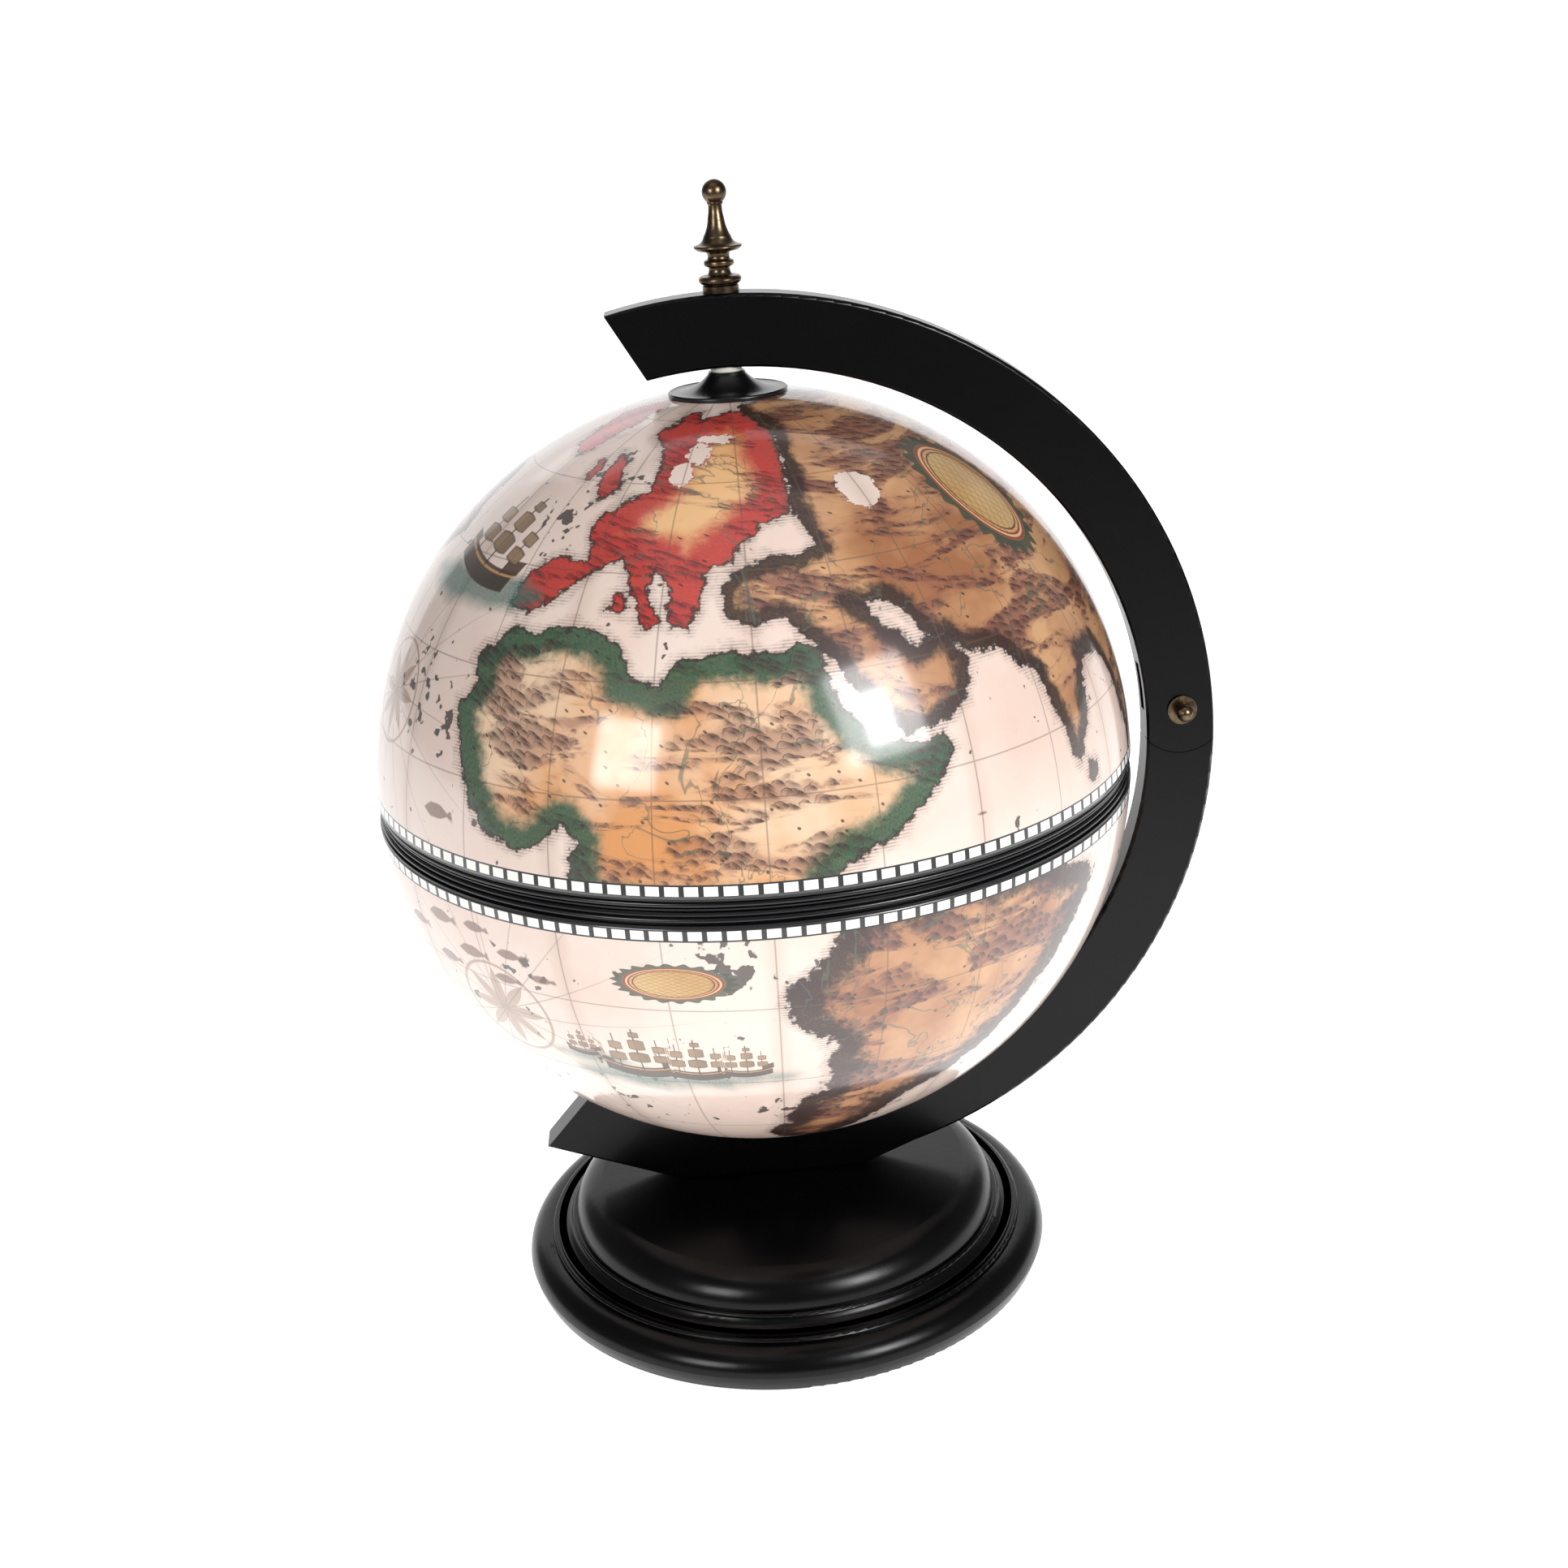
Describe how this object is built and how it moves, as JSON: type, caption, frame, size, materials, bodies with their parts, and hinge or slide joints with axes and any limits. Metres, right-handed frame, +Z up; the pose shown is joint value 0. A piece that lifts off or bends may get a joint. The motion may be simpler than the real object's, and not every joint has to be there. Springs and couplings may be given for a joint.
{
  "type": "desktop globe",
  "caption": "Antique-style desktop globe that opens at its equator to a drinks rack, on a hinged C-shaped black arm and a turned round base, with a brass finial.",
  "frame": {"origin": "centre of the felt pad's underside, on the floor below the globe's pole axis", "axes": "+Z up along the pole axis, +X towards the arm's hinge, +Y along the hinge pin towards its cap nut"},
  "size_m": [0.3692, 0.3298, 0.4958],
  "materials": {
    "black_lacquered_wood": "glossy black lacquer over turned and sawn wood",
    "antique_brass": "darkened antique brass, polished",
    "black_plastic": "black moulded plastic",
    "steel": "zinc-plated steel",
    "felt": "green felt",
    "printed_paper": "printed paper gores under gloss varnish",
    "fibre_shell": "pressed wood fibre, smooth inside",
    "dark_rack": "dark stained plywood",
    "nylon": "natural nylon"
  },
  "bodies": {
    "stand": {"base_foot": "black_lacquered_wood", "base_cap": "black_lacquered_wood", "ballast_plate": "steel", "felt_pad": "felt", "arm_screw_left": "steel", "arm_screw_right": "steel", "lower_arm": "black_lacquered_wood", "hinge_pin": "antique_brass", "hinge_nut": "antique_brass", "lower_pole_pin": "steel", "lower_spacer": "nylon", "lower_pole_washer": "steel", "lower_pole_nut": "steel"},
    "upper_arm_assembly": {"upper_arm": "black_lacquered_wood", "hinge_bush_front": "antique_brass", "hinge_bush_back": "antique_brass", "upper_pole_pin": "steel", "upper_spacer": "nylon", "upper_pole_washer": "steel", "upper_pole_nut": "steel", "finial": "antique_brass"},
    "upper_globe_half": {"upper_shell": "fibre_shell", "upper_map": "printed_paper", "upper_rim_ring": "black_plastic", "upper_collar": "black_plastic", "upper_inner_flange": "black_plastic"},
    "lower_globe_half": {"lower_shell": "fibre_shell", "lower_map": "printed_paper", "lower_rim_ring": "black_plastic", "lower_collar": "black_plastic", "lower_inner_flange": "black_plastic", "rack_deck": "dark_rack", "rack_floor": "dark_rack", "rack_post_1": "dark_rack", "rack_post_2": "dark_rack", "rack_post_3": "dark_rack", "rack_post_4": "dark_rack"}
  },
  "joints": [
    {"name": "arm_hinge", "type": "hinge", "parent": "stand", "child": "upper_arm_assembly", "pos_m": [0.18984, 0, 0.25878], "axis": [0, 1, 0], "range_deg": [0, 75]},
    {"name": "upper_spin", "type": "hinge", "parent": "upper_arm_assembly", "child": "upper_globe_half", "pos_m": [0, 0, 0.4], "axis": [0, 0, 1], "continuous": true},
    {"name": "lower_spin", "type": "hinge", "parent": "stand", "child": "lower_globe_half", "pos_m": [0, 0, 0.1], "axis": [0, 0, 1], "continuous": true}
  ]
}
